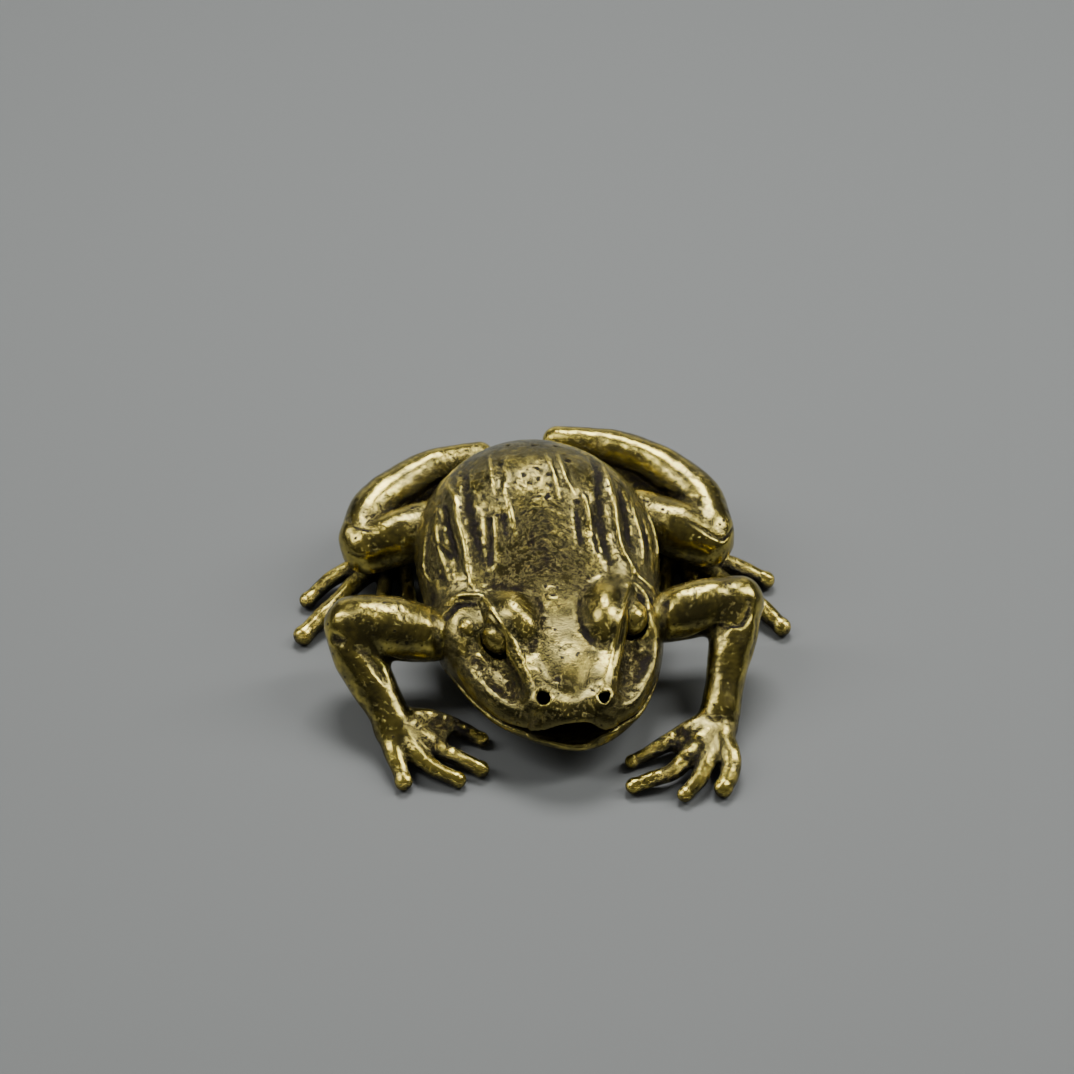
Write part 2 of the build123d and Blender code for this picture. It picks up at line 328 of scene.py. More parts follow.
# The slope between the brow and the lip: x, y, lift of the cutting bar's centre, radius.
CHEEKS = {
    "right": [(-7.9, -11.6, 1.7, 2.3), (-6.6, -13.2, 1.7, 2.3), (-5.4, -15.0, 1.6, 2.1),
              (-4.1, -16.9, 1.3, 1.6)],
    "left": [(10.0, -11.2, 1.7, 2.3), (9.4, -13.0, 1.7, 2.3), (8.4, -14.9, 1.6, 2.1), (7.4, -16.9, 1.3, 1.6)],
}
# The sharp edge of each eyelid, from the fold behind the eye over the eye to the nostril: x, y.
LID_EDGES = {
    "right": [(-7.2, -5.0), (-6.6, -6.6), (-5.9, -8.2), (-5.0, -10.0), (-3.9, -12.1), (-2.9, -14.8),
              (-2.3, -16.8)],
    "left": [(9.2, -4.0), (8.6, -6.4), (7.9, -8.6), (7.3, -10.4), (6.7, -12.0), (6.0, -14.0), (5.4, -16.0)],
}
# Centre and radii.
EARDRUMS = {"right": ((-8.8, -7.8, 9.9), (1.25, 1.6, 1.5)), "left": ((10.3, -6.6, 9.6), (1.0, 1.5, 1.5))}
SNOUT_FLAT = ((1.4, -14.8, 8.4), (3.3, 5.2, 2.0))  # the snout's flat top, tipped by SNOUT_TIP degrees
SNOUT_TIP = 15
MOUTH = ((1.5, -15.3, JAW_Z), (6.4, 4.3, 1.3))
# The lower lip: x, y, z, radius.
LOWER_LIP = [(-7.6, -13.6, 4.9, 0.3), (-5.2, -17.0, 4.7, 0.5), (-1.8, -19.3, 4.5, 0.6),
             (2.0, -20.5, 4.4, 0.65), (5.4, -19.6, 4.5, 0.6), (8.2, -17.0, 4.7, 0.5), (9.8, -13.6, 4.9, 0.3)]


def lifted(path):
    """A path of (x, y, lift, radius) laid on the body as (x, y, z, radius)."""
    return [(*on_back(x, y, lift), radius) for x, y, lift, radius in path]


def cut_limb(clay, path, blend):
    """Scoops a groove along a smooth path."""
    line = smooth_line(path, 4)
    for start, end in zip(line, line[1:]):
        clay.cut(bar(start, end), blend)


def body_clay():
    """The whole body with its face, before it is parted at the seam."""
    clay = Clay((-15.4, -21.4, 1.0), (15.0, 23.4, 19.8))
    clay.field = body_field(clay)
    for side, (lid, lid_radii, ball, turn) in EYES.items():
        sign = 1 if side == "left" else -1
        cut_limb(clay, lifted(CHEEKS[side]), 1.3)
        clay.add_limb(lifted(BROWS[side]), 1.0)
        clay.add(blob(lid, lid_radii, turn), 1.1)
        centre, radii = EARDRUMS[side]
        clay.add(blob(centre, radii, turn), 0.12)
        socket = np.array(ball) + (-sign * 0.12, -0.36, -0.15)  # its dark gap shows in front of the ball
        clay.cut(blob(socket, SOCKET_RADII, turn), 0.3)
        clay.add(blob(ball, BALL_RADII, turn), 0.05)
    clay.add_limb(lifted(MUZZLE), 1.0)
    clay.add(blob(*SNOUT_FLAT, tip=SNOUT_TIP), 0.8)
    for place, inward, radius in NOSTRILS.values():
        opening = np.array(place) - 0.42 * np.array(inward)  # just outside the skin
        clay.cut(bar((*opening, radius), (*(opening + inward), 0.7 * radius)), 0.25)
        outward = opening + (-0.4 * inward[0], 0.4, 0.1)  # a short groove runs out sideways
        clay.cut(bar((*opening, 0.85 * radius), (*outward, 0.6 * radius)), 0.3)
    clay.cut(blob(*MOUTH), 0.2)
    return clay


def part_at_seam(clay, side):
    """The clay on one side of the seam: 1 keeps the back casting, -1 the belly casting."""
    x, y, z = clay.whole()
    ends = [axis[-1] + 0.5 * clay.voxel for axis in clay.axes]
    part = Clay([axis[0] for axis in clay.axes], ends, clay.voxel)
    part.field = clay.field.copy()
    if side < 0:
        part.add_limb(LOWER_LIP, 0.5)
    part.field = smooth_max(part.field, side * (seam_height(x, y, side) - z), 0.12).astype(np.float32)
    return part


# ---- the limbs
# Limbs are smooth lines of x, y, z, radius. A palm is made of blobs: centre, radii and turn about Z.
RIGHT_ARM = [(-11.4, -6.4, 7.0, 2.0), (-13.4, -6.3, 8.1, 3.0), (-16.6, -5.9, 8.9, 3.5),
             (-19.5, -5.3, 9.2, 3.3), (-21.2, -5.1, 9.1, 3.1)]
RIGHT_FOREARM = [(-21.4, -5.4, 8.8, 2.9), (-20.9, -7.6, 7.2, 2.9), (-20.0, -9.4, 5.8, 2.7),
                 (-18.6, -12.0, 4.2, 2.3), (-17.6, -14.0, 3.0, 2.2)]
LEFT_ARM = [(11.8, -6.0, 7.0, 2.1), (14.0, -5.8, 8.1, 3.0), (17.4, -5.4, 8.7, 3.2), (20.0, -5.0, 8.8, 2.9),
            (21.4, -4.9, 8.8, 2.7)]
LEFT_FOREARM = [(21.3, -5.0, 8.8, 2.6), (20.6, -7.6, 7.4, 2.7), (19.8, -10.0, 6.0, 2.5),
                (19.0, -12.9, 4.3, 2.1), (18.2, -15.6, 3.0, 2.1)]
RIGHT_PALM = [((-17.0, -15.0, 2.2), (2.4, 2.3, 1.7), 20), ((-15.4, -14.2, 2.2), (1.9, 1.5, 1.3), 0),
              ((-14.5, -15.8, 1.7), (3.3, 2.6, 1.45), 30)]
LEFT_PALM = [((17.5, -17.2, 2.3), (2.3, 2.5, 1.7), -10), ((16.4, -18.4, 2.0), (1.8, 1.7, 1.3), 0),
             ((15.3, -19.4, 1.8), (3.1, 2.7, 1.45), -30)]
RIGHT_FINGERS = [
    [(-15.6, -13.4, 2.6, 1.15), (-12.8, -13.7, 2.3, 1.0), (-10.2, -14.7, 1.5, 0.95),
     (-8.1, -15.7, 0.85, 0.75)],
    [(-15.3, -15.2, 2.5, 1.25), (-13.2, -17.4, 2.0, 1.05), (-10.8, -18.7, 1.5, 0.95),
     (-8.4, -19.9, 0.9, 0.8)],
    [(-16.3, -16.0, 2.4, 1.25), (-14.8, -18.8, 1.9, 1.05), (-13.0, -20.3, 1.4, 0.9),
     (-11.0, -21.2, 0.85, 0.75)],
    [(-17.7, -15.8, 2.3, 1.35), (-17.5, -18.0, 1.8, 1.15), (-17.1, -19.6, 1.3, 0.95),
     (-16.7, -20.9, 0.9, 0.8)],
]
LEFT_FINGERS = [
    [(16.3, -16.9, 2.6, 1.2), (13.8, -18.1, 2.3, 1.05), (10.8, -19.3, 1.6, 0.95), (7.9, -20.3, 0.85, 0.75)],
    [(16.2, -18.5, 2.5, 1.2), (14.0, -21.2, 2.5, 1.05), (11.9, -23.0, 1.9, 0.95), (9.6, -23.4, 1.4, 0.95),
     (7.7, -23.7, 0.9, 0.8)],
    [(16.6, -19.2, 2.4, 1.2), (15.7, -21.8, 2.1, 1.05), (14.6, -23.9, 1.5, 0.95), (13.0, -25.4, 0.9, 0.8)],
    [(17.8, -18.6, 2.4, 1.35), (18.3, -21.4, 1.9, 1.15), (18.0, -23.4, 1.4, 1.0), (17.1, -24.9, 0.9, 0.8)],
]
RIGHT_THIGH = [(-9.6, 11.8, 8.0, 2.7), (-12.6, 11.0, 8.0, 3.1), (-16.0, 9.9, 7.8, 3.3),
               (-19.4, 9.1, 7.4, 3.2)]
RIGHT_SHANK = [(-20.1, 10.0, 8.0, 2.7), (-18.6, 14.0, 8.9, 2.65), (-15.0, 17.5, 9.2, 2.45),
               (-10.7, 20.3, 9.4, 2.1), (-5.6, 22.3, 9.0, 1.7)]
RIGHT_WEB = [(-17.6, 12.5, 6.1, 1.6), (-14.0, 15.6, 6.2, 1.9), (-10.6, 17.8, 6.4, 2.0),
             (-8.6, 19.0, 6.6, 1.8)]
LEFT_THIGH = [(11.4, 11.8, 8.0, 2.7), (13.5, 10.2, 8.0, 3.1), (16.6, 8.2, 7.9, 3.3), (19.7, 6.8, 7.4, 3.2)]
LEFT_SHANK = [(20.2, 7.7, 8.1, 2.8), (19.4, 12.3, 9.0, 2.65), (16.2, 16.9, 9.5, 2.45), (11.0, 20.8, 9.9, 2.2),
              (3.7, 23.3, 9.8, 1.6)]
LEFT_WEB = [(18.4, 10.6, 6.2, 1.7), (15.6, 14.2, 6.3, 1.9), (11.8, 17.7, 6.6, 2.1), (8.8, 19.6, 6.8, 2.0)]
RIGHT_INSTEP = [(-8.6, 20.6, 6.6, 1.5), (-9.9, 19.8, 4.4, 1.5), (-12.6, 17.2, 2.4, 1.6),
                (-15.8, 13.9, 2.0, 1.8), (-18.2, 11.2, 1.9, 1.6)]
LEFT_INSTEP = [(7.6, 21.6, 6.6, 1.5), (8.9, 20.6, 4.4, 1.5), (12.6, 16.8, 2.4, 1.6), (16.0, 12.0, 2.0, 1.8),
               (18.2, 8.7, 1.9, 1.6)]
RIGHT_TOES = [
    [(-15.0, 14.0, 2.0, 1.1), (-12.9, 12.0, 1.6, 0.95), (-12.4, 9.9, 0.85, 0.75)],
    [(-16.0, 12.6, 2.0, 1.1), (-15.3, 8.8, 1.6, 0.95), (-15.0, 5.5, 0.85, 0.75)],
    [(-17.4, 11.4, 2.0, 1.1), (-18.1, 6.2, 1.6, 0.95), (-18.6, 2.5, 0.85, 0.75)],
    [(-18.2, 11.4, 2.2, 1.3), (-20.9, 8.6, 2.4, 1.15), (-24.3, 4.8, 1.7, 1.1), (-27.4, 1.8, 1.0, 0.92)],
    [(-18.0, 12.2, 2.2, 1.3), (-20.8, 11.3, 2.4, 1.15), (-24.0, 9.9, 1.8, 1.1), (-26.8, 7.6, 1.0, 0.92)],
]
LEFT_TOES = [
    [(15.4, 12.5, 2.0, 1.1), (13.2, 10.2, 1.6, 0.95), (12.6, 8.5, 0.85, 0.75)],
    [(16.2, 10.5, 2.0, 1.1), (15.1, 6.8, 1.6, 0.95), (14.8, 3.5, 0.85, 0.75)],
    [(17.6, 9.0, 2.0, 1.1), (18.5, 3.8, 1.6, 0.95), (19.0, 0.2, 0.85, 0.75)],
    [(18.4, 9.0, 2.2, 1.3), (21.3, 5.3, 2.4, 1.2), (25.0, 1.4, 1.8, 1.15), (27.5, -1.6, 1.0, 0.92)],
    [(17.8, 10.0, 2.2, 1.3), (20.9, 8.8, 2.4, 1.15), (24.0, 7.5, 1.8, 1.1), (26.9, 6.2, 1.0, 0.92)],
]


def add_digits(clay, digits, blend):
    """Fingers or toes, each with a round pad at its tip that is a little thicker than the digit."""
    for digit in digits:
        clay.add_limb(digit, blend)
        *tip, radius = digit[-1]
        clay.add(blob(tip, (1.12 * radius,) * 3), 0.3)


def foreleg_clay(arm, forearm, palm, fingers, low, high):
    """Upper arm, forearm and hand, in a block of clay from low to high."""
    clay = Clay(low, high)
    clay.add_limb(arm, 0.0)
    clay.add_limb(forearm, 0.9)
    for centre, radii, turn in palm:
        clay.add(blob(centre, radii, turn), 0.9)
    add_digits(clay, fingers, 0.55)
    clay.keep_above_floor()
    return clay


def hind_leg_clay(thigh, shank, web, low, high):
    """Folded thigh and shank, with the web of metal left low down between them."""
    clay = Clay(low, high)
    clay.add_limb(thigh, 0.0)
    clay.add_limb(shank, 0.3)
    clay.add_limb(web, 0.4)
    return clay


def hind_foot_clay(instep, toes, low, high):
    """Instep and toes."""
    clay = Clay(low, high)
    clay.add_limb(instep, 0.0)
    add_digits(clay, toes, 0.6)
    clay.keep_above_floor()
    return clay


# ---- the skin
def noise(points, size, seed):
    """Smooth noise from -1 to 1 at points in millimetres, with lumps about size across."""
    place = points / size + 31.7 * seed
    cell = np.floor(place).astype(np.int64)
    part = eased(place - cell)
    total = np.zeros(len(points))
    for corner in itertools.product((0, 1), repeat=3):
        key = (cell + corner) @ np.array([73856093, 19349663, 83492791])
        key = (key ^ (key >> 13)) * 1274126177 & 0xFFFFFFFF
        key = (key ^ (key >> 15)) * 668265263 & 0xFFFFFFFF
        weight = np.prod(np.where(np.array(corner) == 1, part, 1 - part), axis=1)
        total += weight * ((key >> 16) / 32767.5 - 1)
    return total


def line_distance(points, line):
    """Distance from points to a line, and how far along the line the nearest place is, from 0 to 1."""
    nearest = np.full(len(points), 1e9)
    place = np.zeros(len(points))
    count = len(line) - 1
    for i in range(count):
        axis = line[i + 1] - line[i]
        offset = points - line[i]
        t = np.clip(offset @ axis / max(float(axis @ axis), 1e-9), 0, 1)
        gap = np.linalg.norm(offset - t[:, None] * axis, axis=1)
        closer = gap < nearest
        nearest[closer] = gap[closer]
        place[closer] = (i + t[closer]) / count
    return nearest, place


def vertex_normals(points, quads):
    """Unit normals at the vertices."""
    across = points[quads[:, 2]] - points[quads[:, 0]]
    other = points[quads[:, 3]] - points[quads[:, 1]]
    face = np.cross(across, other)
    total = np.stack([
        sum(np.bincount(quads[:, i], face[:, k], len(points)) for i in range(4)) for k in range(3)
    ], axis=1)
    return total / np.maximum(np.linalg.norm(total, axis=1, keepdims=True), 1e-12)


def relaxed(values, edges, count, rounds):
    """Values smoothed over the mesh's edges."""
    degree = np.bincount(edges.ravel(), minlength=count)[:, None]
    for _ in range(rounds):
        total = np.stack([
            np.bincount(edges[:, 0], values[edges[:, 1], k], count)
            + np.bincount(edges[:, 1], values[edges[:, 0], k], count) for k in range(values.shape[1])
        ], axis=1)
        values = 0.5 * values + 0.5 * total / degree
    return values


FADE = 0.28  # the share of a line over which it fades in, and out again
PIT_FILL = 0.65  # the share of a pit's depth that the patina leaves open


class Skin:
    """A casting's mesh while its surface is worked: each vertex has a value of every kind below.

    Lift moves it along its normal, stain darkens it with patina and with painted shade, coarse and wrinkle
    choose its fine relief, and dullness takes its polish away.
    """

    def __init__(self, clay):
        self.clay = clay
        self.points, self.quads = clay.mesh()
        self.normals = vertex_normals(self.points, self.quads)
        self.lift, self.stain, self.coarse, self.wrinkle, self.dullness = np.zeros((5, len(self.points)))

    def near(self, line, reach):
        """The numbers of the vertices in the box around a line."""
        low, high = line.min(0) - reach, line.max(0) + reach
        return np.where(((self.points > low) & (self.points < high)).all(1))[0]

    def on_top(self, path):
        """Points (x, y) laid on the casting's upper surface."""
        line = []
        for x, y in path:
            i, j = (int(round((value - low) / self.clay.voxel)) for value, low in zip((x, y), self.clay.low))
            line.append((x, y, self.clay.axes[2][np.where(self.clay.field[i, j] < 0)[0][-1]]))
        return line

    def stroke(self, line, wide, high, ink=0.0):
        """A ridge, or a groove where high is negative, along a line. It fades out at its ends."""
        line = smooth_line(line, 6)
        chosen = self.near(line, 3.2 * wide)
        gap, place = line_distance(self.points[chosen], line)
        fade = rise(np.minimum(place, 1 - place), 0, FADE)
        ragged = noise(self.points[chosen], 0.5, 7)
        wobble = 1 + 0.35 * noise(self.points[chosen], 1.3, 5) + 0.3 * noise(self.points[chosen], 0.55, 6)
        amount = np.exp(-(gap / (wide * wobble))**2) * fade
        self.lift[chosen] += high * amount
        halo = np.exp(-(gap / (1.7 * wide))**2) * fade
        self.stain[chosen] += ink * np.clip(0.6 * amount + 0.4 * halo, 0, 1) * (0.8 + 0.9 * ragged)

    def pit(self, centre, radius, depth):
        """A small ragged casting pit."""
        centre = np.array(centre, float)
        chosen = self.near(centre[None], 3 * radius)
        place = self.points[chosen]
        warp = np.stack([noise(place, 0.5, seed) for seed in (51, 52, 53)], axis=1)
        gap = np.linalg.norm(place + 0.22 * warp - centre, axis=1) / radius
        amount = eased(rise(gap, 1.35, 0.35))
        self.lift[chosen] -= PIT_FILL * depth * amount
        self.stain[chosen] += 1.5 * amount + 0.25 * np.exp(-(gap / 2)**2)
        self.dullness[chosen] += np.exp(-(gap / 1.7)**2)

    def roughen(self, size, height, seed, mask=1.0):
        """Lumps about size across and up to height high."""
        self.lift += height * mask * noise(self.points, size, seed)

    def settle(self):
        """Moves the vertices by their lift, and keeps them above the floor."""
        self.points = self.points + self.normals * self.lift[:, None]
        self.points[:, 2] = np.maximum(self.points[:, 2], 0)
        self.normals = vertex_normals(self.points, self.quads)


def on_line(points):
    """Points (x, y) laid on the body."""
    return [on_back(x, y) for x, y in points]


BACK_RIDGES = [  # line, width, height
    ([(-9.2, 13.0), (-9.8, 9.6), (-9.2, 6.6), (-9.0, 3.7), (-8.5, 1.1), (-8.3, -2.0), (-7.9, -4.2),
      (-6.8, -5.9)], 0.38, 0.36),
    ([(7.4, 13.4), (7.9, 9.0), (8.3, 5.2), (8.4, 1.7), (8.8, -0.7), (9.6, -2.4), (9.5, -3.8),
      (9.1, -5.2)], 0.38, 0.36),
    ([(-4.9, 12.4), (-5.0, 10.5), (-5.0, 7.2), (-4.7, 4.7)], 0.29, 0.24),
    ([(-3.8, 6.8), (-3.7, 5.2), (-3.3, 2.7), (-2.8, -0.4)], 0.27, 0.22),
    ([(-5.1, 3.2), (-5.1, 1.2), (-5.0, -0.8)], 0.27, 0.14),
    ([(1.3, 10.6), (1.6, 8.8), (2.0, 6.3), (2.2, 3.4)], 0.30, 0.24),
    ([(2.5, 11.2), (2.8, 9.2), (3.2, 6.4), (4.1, 4.4)], 0.27, 0.21),
    ([(5.0, 5.0), (5.1, 4.3), (5.3, 2.6), (5.5, 0.6)], 0.29, 0.26),
    ([(-12.4, 6.4), (-12.9, 3.2), (-13.0, 1.2), (-12.2, -1.4)], 0.27, 0.26),
    ([(-11.2, 7.4), (-11.5, 4.2), (-11.2, 1.4), (-10.6, -1.2)], 0.30, 0.21),
    ([(10.4, 7.4), (10.7, 4.2), (11.2, 1.2), (11.0, -1.8)], 0.30, 0.26),
    ([(11.6, 8.4), (12.6, 5.6), (13.1, 2.6), (12.6, -1.0)], 0.23, 0.27),
    ([(-6.6, -5.6), (-8.0, -5.0), (-9.7, -4.6), (-11.4, -5.0)], 0.46, 0.30),
    ([(9.4, -2.2), (10.2, -3.3), (11.4, -3.9), (12.2, -4.6)], 0.38, 0.30),
    ([(9.3, -4.2), (10.2, -4.8), (10.8, -5.6), (11.1, -7.2)], 0.27, 0.30),
    ([(-2.8, -13.8), (-1.5, -15.4), (-0.4, -16.8)], 0.23, 0.10),
]
BACK_VALLEYS = [  # line, width, depth, stain
    ([(-7.3, 14.0), (-7.9, 10.6), (-7.8, 5.8), (-7.4, 2.2), (-7.0, -0.7), (-6.6, -3.4)], 0.66, 0.36, 0.95),
    ([(-6.8, -2.6), (-5.6, -4.3), (-3.6, -4.9), (-2.2, -5.2)], 0.62, 0.20, 0.75),
    ([(6.2, 13.6), (6.9, 9.9), (6.7, 4.2), (6.6, 0.5), (7.1, -1.9), (8.2, -3.8)], 0.62, 0.36, 0.95),
    ([(-5.8, 3.6), (-5.7, 1.7), (-5.9, -1.2), (-6.0, -2.6)], 0.40, 0.22, 0.8),
    ([(-4.3, 3.4), (-4.1, 2.1), (-3.8, -0.4)], 0.37, 0.22, 0.8),
    ([(-3.9, 10.6), (-4.1, 7.8), (-4.1, 5.6)], 0.40, 0.14, 0.15),
    ([(4.1, 4.2), (4.1, 2.4), (4.1, 0.2), (4.3, -1.6)], 0.40, 0.26, 0.9),
    ([(5.9, 4.6), (5.9, 2.2), (5.8, -0.2), (6.0, -1.8)], 0.35, 0.20, 0.6),
    ([(-10.6, 8.6), (-10.4, 6.0), (-10.2, 3.5), (-9.6, 0.3), (-9.3, -2.4)], 0.44, 0.34, 0.95),
    ([(-11.8, 3.4), (-10.9, 1.6), (-9.8, -0.4)], 0.28, 0.22, 0.9),
    ([(-12.4, 1.0), (-11.6, -0.8), (-10.6, -3.0)], 0.44, 0.20, 0.8),
    ([(9.3, 8.6), (9.4, 6.4), (9.6, 3.9), (9.7, 1.0), (10.3, -1.0)], 0.44, 0.34, 0.95),
    ([(11.4, 6.4), (11.8, 3.4), (12.0, 1.0), (11.6, -1.8)], 0.35, 0.24, 0.8),
    ([(-0.4, 3.6), (-0.2, 1.2), (0.4, -1.3), (0.9, -3.6), (1.1, -5.2)], 1.41, 0.14, 0.7),
    ([(-2.8, -4.6), (-1.4, -5.4), (-0.8, -7.4), (-1.0, -9.6), (-1.7, -11.2),
      (-2.4, -12.6)], 0.35, 0.14, 0.45),
    ([(-1.6, -10.6), (-2.2, -11.8), (-2.3, -13.2)], 0.48, 0.16, 0.6),
    ([(4.6, -4.6), (3.6, -6.4), (3.2, -8.6), (3.5, -10.4), (4.3, -11.8), (5.4, -12.6)], 0.35, 0.14, 0.45),
    ([(3.2, -9.6), (3.8, -11.2), (4.8, -12.4)], 0.44, 0.16, 0.55),
    ([(-7.3, -6.4), (-9.2, -5.7), (-10.7, -6.0), (-11.6, -7.0)], 0.44, 0.35, 0.9),
    ([(9.8, -5.4), (10.4, -6.0), (10.7, -7.2)], 0.35, 0.40, 0.9),
    ([(11.0, -4.8), (11.7, -5.6), (11.9, -7.0)], 0.35, 0.40, 0.9),
]
FACE_LINES = [  # line, width, height, stain: the lower eyelids and the streaks down the cheeks
    ([(-8.5, -9.8, 8.7), (-7.8, -11.0, 8.9), (-6.9, -12.3, 9.2), (-5.8, -12.9, 9.3)], 0.35, 0.35, 0.0),
    ([(10.4, -9.8, 7.9), (9.8, -11.0, 8.3), (8.9, -12.0, 8.9)], 0.35, 0.3, 0.0),
    ([(-10.5, -8.9, 9.2), (-9.6, -11.2, 8.6), (-7.8, -14.0, 8.1), (-5.7, -15.9, 8.0),
      (-4.1, -17.2, 8.0)], 0.6, -0.22, 0.9),
    ([(-7.4, -12.0, 8.9), (-6.5, -13.3, 8.7), (-5.3, -14.6, 8.6), (-4.2, -16.2, 8.7)], 0.4, 0.2, 0.0),
    ([(-5.3, -12.4, 10.0), (-4.6, -14.2, 9.6), (-3.8, -15.9, 9.2), (-3.0, -17.6, 8.8)], 0.5, -0.15, 0.9),
    ([(7.9, -12.4, 9.8), (7.6, -14.2, 9.4), (6.9, -16.0, 9.0)], 0.5, -0.15, 0.9),
    ([(11.2, -8.6, 8.6), (10.7, -11.0, 8.2), (9.6, -13.6, 8.0), (8.2, -15.8, 7.9)], 0.6, -0.2, 0.8),
]
PITS = [  # x, y, radius, depth
    (1.2, 7.2, 0.38, 0.4), (1.0, 4.4, 0.36, 0.4), (-1.6, 7.2, 0.3, 0.3), (-0.9, 6.1, 0.3, 0.35),
    (0.2, 8.0, 0.3, 0.3), (0.0, 6.5, 0.3, 0.3), (1.4, 5.7, 0.26, 0.3), (-3.9, 9.6, 0.32, 0.25),
    (3.7, 9.7, 0.34, 0.3), (3.5, 10.7, 0.24, 0.25), (5.3, 4.9, 0.3, 0.3), (4.2, 3.8, 0.26, 0.3),
    (-5.9, 3.9, 0.26, 0.3), (-4.7, 4.6, 0.28, 0.25), (-4.9, 2.9, 0.26, 0.2), (-6.2, 7.7, 0.26, 0.2),
    (-6.1, 5.6, 0.3, 0.2), (4.6, -4.1, 0.34, 0.35), (-0.2, -4.8, 0.26, 0.3), (0.5, -6.0, 0.28, 0.3),
    (0.2, -16.0, 0.42, 0.4), (-2.8, 14.2, 0.3, 0.2), (0.1, 13.1, 0.36, 0.2), (2.6, 13.0, 0.3, 0.2),
]
RIGHT_ARM_LINES = [  # line, width, height, darkening: the folds of skin along the arm and at the elbow, and the palm and inner fingers darkened as patina with painted shade
    ([(-22.9, -8.0, 9.6), (-19.9, -9.2, 8.6), (-17.1, -9.2, 7.4), (-14.0, -9.2, 6.6)], 0.35, -0.3, 0.9),
    ([(-21.3, -8.8, 9.8), (-19.9, -9.9, 8.8), (-18.6, -11.2, 7.3), (-18.0, -12.2, 6.3)], 0.4, -0.3, 0.8),
    ([(-24.0, -7.2, 9.6), (-23.1, -7.9, 9.8), (-21.9, -8.6, 9.9)], 0.5, -0.35, 0.8),
    ([(-12.0, -9.4, 7.0), (-12.2, -8.4, 9.3), (-12.5, -6.8, 10.7), (-12.4, -5.4, 11.0)], 0.5, -0.3, 0.8),
    ([(-20.9, -9.6, 8.0), (-20.6, -11.4, 6.4), (-19.8, -13.2, 5.2)], 0.5, -0.16, 0.3),
    ([(-16.6, -4.2, 12.0), (-16.0, -6.4, 12.2), (-15.8, -8.0, 11.4)], 0.2, -0.1, 0.4),
    # patina with painted shade: the palm between the finger roots and the inner fingers are darkened, where
    # shade falls between them
    ([(-15.6, -14.4, 3.4), (-13.4, -15.4, 2.8), (-11.0, -16.4, 2.0), (-9.4, -17.0, 1.4)], 1.6, -0.05, 2.0),
    ([(-14.2, -13.5, 3.0), (-12.0, -14.0, 2.6), (-10.2, -14.7, 2.1), (-8.0, -15.8, 1.4)], 1.1, 0.0, 1.6),
    ([(-14.6, -16.6, 3.0), (-13.2, -17.4, 2.6), (-10.8, -18.7, 2.1), (-9.6, -19.4, 1.6)], 1.0, 0.0, 1.0),
]
LEFT_ARM_LINES = [
    ([(21.8, -6.5, 11.1), (22.1, -7.7, 10.2), (21.0, -9.1, 9.5), (19.5, -9.2, 9.2),
      (17.4, -8.8, 7.4)], 0.3, -0.3, 0.9),
    ([(12.7, -8.6, 7.0), (15.6, -8.7, 7.2), (18.5, -8.6, 9.0), (20.8, -8.4, 9.8)], 0.3, -0.25, 0.8),
    ([(22.9, -7.0, 9.6), (22.4, -9.4, 7.8), (21.4, -12.0, 5.8)], 0.3, -0.2, 0.6),
    ([(12.4, -9.0, 7.0), (12.6, -8.0, 9.3), (12.9, -6.4, 10.7), (12.7, -5.0, 11.0)], 0.5, -0.3, 0.8),
    ([(15.9, -4.0, 11.7), (16.1, -5.6, 12.0), (16.1, -7.6, 11.2)], 0.2, -0.1, 0.4),
    # patina with painted shade: the palm between the finger roots and the inner fingers are darkened, where
    # shade falls between them
    ([(16.2, -18.0, 3.4), (14.4, -19.6, 2.8), (12.0, -21.2, 2.2), (9.8, -22.0, 1.4)], 1.5, -0.05, 2.0),
    ([(15.2, -17.4, 3.2), (13.0, -18.4, 2.8), (10.8, -19.3, 2.2), (7.8, -20.4, 1.4)], 1.1, 0.0, 1.4),
    ([(15.0, -20.2, 3.2), (14.0, -21.2, 3.0), (11.9, -23.0, 2.5), (9.6, -23.5, 2.0)], 1.0, 0.0, 1.0),
]
RIGHT_LEG_LINES = [
    ([(-21.9, 11.6, 9.6), (-21.4, 11.0, 10.2), (-20.7, 9.3, 10.3), (-19.0, 8.4, 10.8),
      (-17.0, 8.6, 11.2)], 0.22, -0.2, 0.9),
    ([(-20.4, 12.4, 10.2), (-18.4, 12.4, 10.4), (-16.4, 13.8, 9.6), (-13.6, 15.0, 9.0)], 0.5, -0.3, 0.8),
    ([(-21.8, 7.6, 8.6), (-20.0, 6.4, 8.6), (-17.6, 7.0, 9.6)], 0.25, -0.12, 0.6),
    # patina with painted shade: the web low in the gap between thigh and shank is darkened
    ([(-18.6, 12.0, 7.9), (-16.4, 13.6, 7.9), (-14.0, 15.6, 8.0), (-10.6, 17.8, 8.3),
      (-8.0, 19.2, 8.4)], 1.3, -0.1, 1.5),
]
LEFT_LEG_LINES = [
    ([(22.9, 7.6, 8.6), (22.5, 6.4, 9.1), (20.9, 4.6, 9.4), (19.0, 5.3, 10.3),
      (17.2, 6.4, 11.0)], 0.22, -0.2, 0.9),
    ([(20.2, 9.6, 10.4), (18.4, 10.4, 10.4), (16.6, 12.6, 9.6), (14.4, 14.2, 9.0)], 0.5, -0.3, 0.8),
    ([(21.6, 5.2, 8.0), (19.6, 4.0, 8.4), (17.4, 5.2, 9.6)], 0.25, -0.12, 0.6),
    # patina with painted shade: the web low in the gap between thigh and shank is darkened
    ([(19.2, 9.8, 8.1), (17.4, 12.2, 8.1), (15.6, 14.2, 8.1), (11.8, 17.7, 8.6),
      (8.0, 19.9, 8.8)], 1.3, -0.1, 1.5),
]


